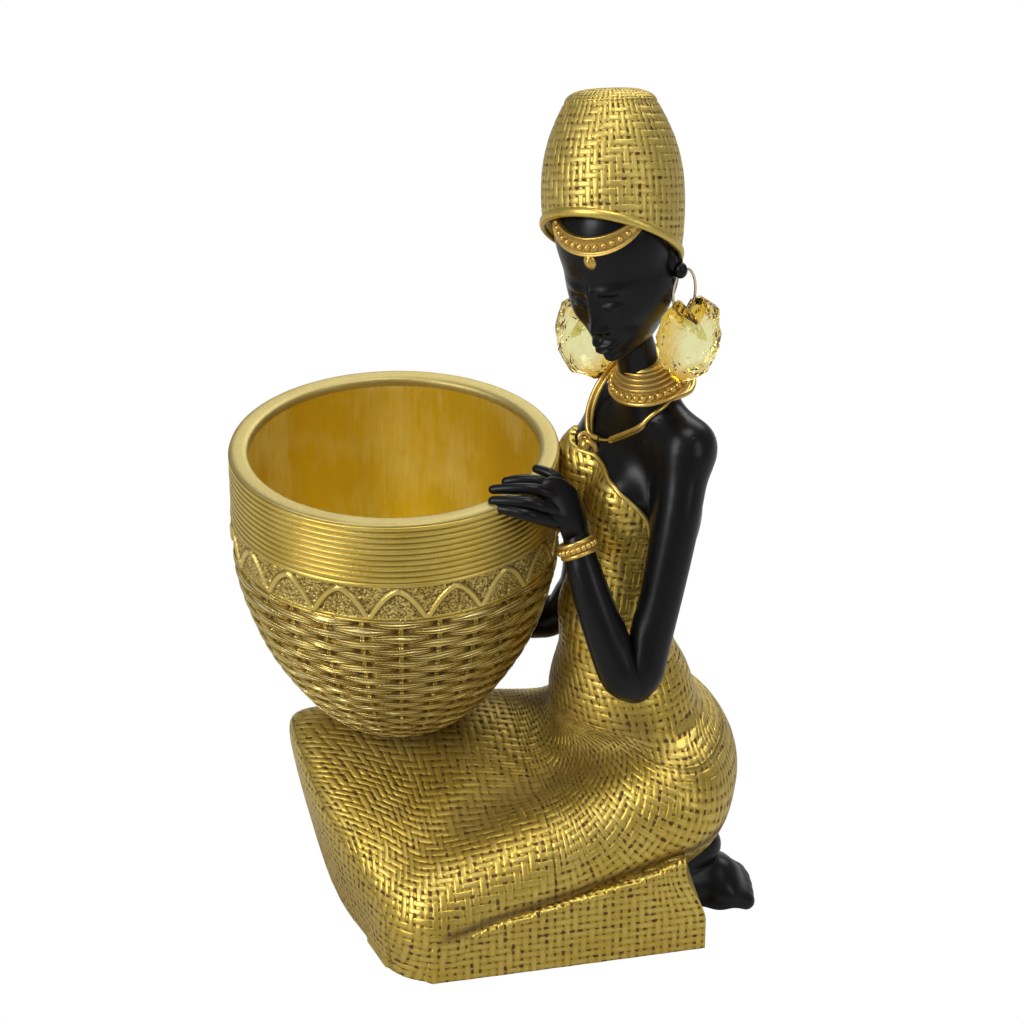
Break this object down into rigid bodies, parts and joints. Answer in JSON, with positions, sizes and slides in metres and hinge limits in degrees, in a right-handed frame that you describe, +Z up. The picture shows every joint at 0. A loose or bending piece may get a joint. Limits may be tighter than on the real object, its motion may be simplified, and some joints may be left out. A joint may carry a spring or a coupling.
{
  "type": "kneeling figurine with basket bowl",
  "caption": "Kneeling figurine in a tall woven hat and woven dress, holding a large open basket bowl on the lap; cast resin in gold and black, with faceted amber drop earrings on wire rings.",
  "frame": {"origin": "middle of the flat underside, on the ground", "axes": "+Z up through the figure; the figure's knees point to -Y and its left side is +X"},
  "size_m": [0.1107, 0.1371, 0.2338],
  "materials": {
    "gold_resin": "antiqued satin gold paint on cast resin",
    "black_resin": "satin black paint on cast resin",
    "gold_wire": "polished wire",
    "amber_acrylic": "clear amber, cut facets"
  },
  "bodies": {
    "root": {"figurine_casting": "gold_resin", "earring_ring_left": "gold_wire", "earring_ring_right": "gold_wire", "earring_drop_left": "amber_acrylic", "earring_drop_right": "amber_acrylic"}
  },
  "joints": []
}
